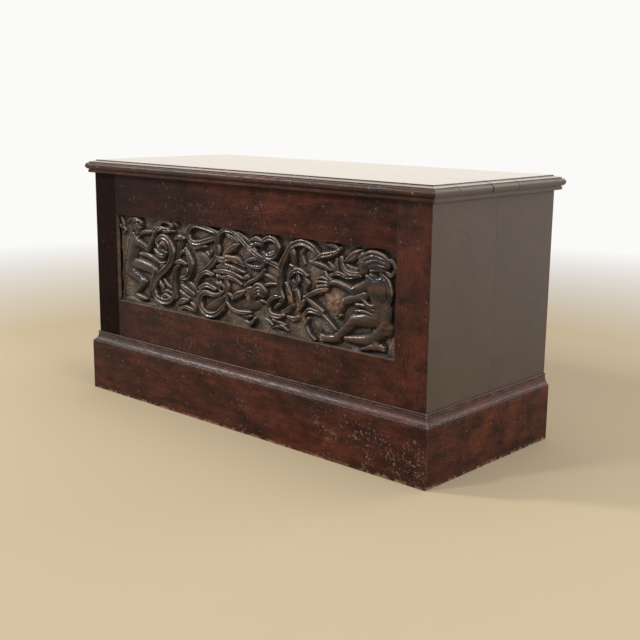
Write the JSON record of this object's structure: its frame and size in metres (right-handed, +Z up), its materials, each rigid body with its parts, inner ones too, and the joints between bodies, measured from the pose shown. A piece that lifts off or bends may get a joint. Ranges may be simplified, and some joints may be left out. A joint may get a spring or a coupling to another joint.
{
  "type": "cassone",
  "caption": "Long low wooden storage chest with a hinged moulded lid, a framed carved front panel, plain sides and a tall plinth with a moulded cap.",
  "frame": {"origin": "on the floor, under the middle of the lid's outline", "axes": "+X along the chest to the viewer's right when facing its front, -Y out of the front, +Z up"},
  "size_m": [1.22, 0.53, 0.662],
  "materials": {
    "dark_walnut": "old polished, dark red-brown stain, worn at the arrises",
    "carved_walnut": "old polish, near black, rubbed on the high parts of the carving",
    "lid_walnut": "old polished, dark red-brown stain, scratched",
    "inner_softwood": "bare, browned with age",
    "forged_iron": "dark, dull"
  },
  "bodies": {
    "case": {"back_board_bottom": "inner_softwood", "back_board_middle": "inner_softwood", "back_board_top": "inner_softwood", "back_nails": "forged_iron", "bottom_board_front": "inner_softwood", "bottom_board_middle": "inner_softwood", "bottom_board_rear": "inner_softwood", "bottom_ledger_back": "inner_softwood", "bottom_ledger_front": "inner_softwood", "bottom_ledger_left": "inner_softwood", "bottom_ledger_right": "inner_softwood", "carved_panel": "carved_walnut", "corner_blocks": "inner_softwood", "front_rail_bottom": "dark_walnut", "front_rail_top": "dark_walnut", "front_stile_left": "dark_walnut", "front_stile_right": "dark_walnut", "hinge_case_leaf_left": "forged_iron", "hinge_case_leaf_right": "forged_iron", "hinge_pin_left": "forged_iron", "hinge_pin_right": "forged_iron", "plinth_blocks": "inner_softwood", "plinth_cap_front": "dark_walnut", "plinth_cap_left": "dark_walnut", "plinth_cap_right": "dark_walnut", "plinth_front": "dark_walnut", "plinth_left": "dark_walnut", "plinth_right": "dark_walnut", "side_board_left_front": "dark_walnut", "side_board_left_rear": "dark_walnut", "side_board_right_front": "dark_walnut", "side_board_right_rear": "dark_walnut"},
    "lid": {"batten_nails": "forged_iron", "hinge_lid_leaf_left": "forged_iron", "hinge_lid_leaf_right": "forged_iron", "lid_band_front": "lid_walnut", "lid_band_left": "lid_walnut", "lid_band_right": "lid_walnut", "lid_batten_left": "inner_softwood", "lid_batten_right": "inner_softwood", "lid_board_front": "lid_walnut", "lid_board_front_middle": "lid_walnut", "lid_board_rear": "lid_walnut", "lid_board_rear_middle": "lid_walnut"}
  },
  "joints": [
    {"name": "lid_hinge", "type": "hinge", "parent": "case", "child": "lid", "pos_m": [0, 0.247, 0.6345], "axis": [-1, 0, 0], "range_deg": [0, 100]}
  ]
}
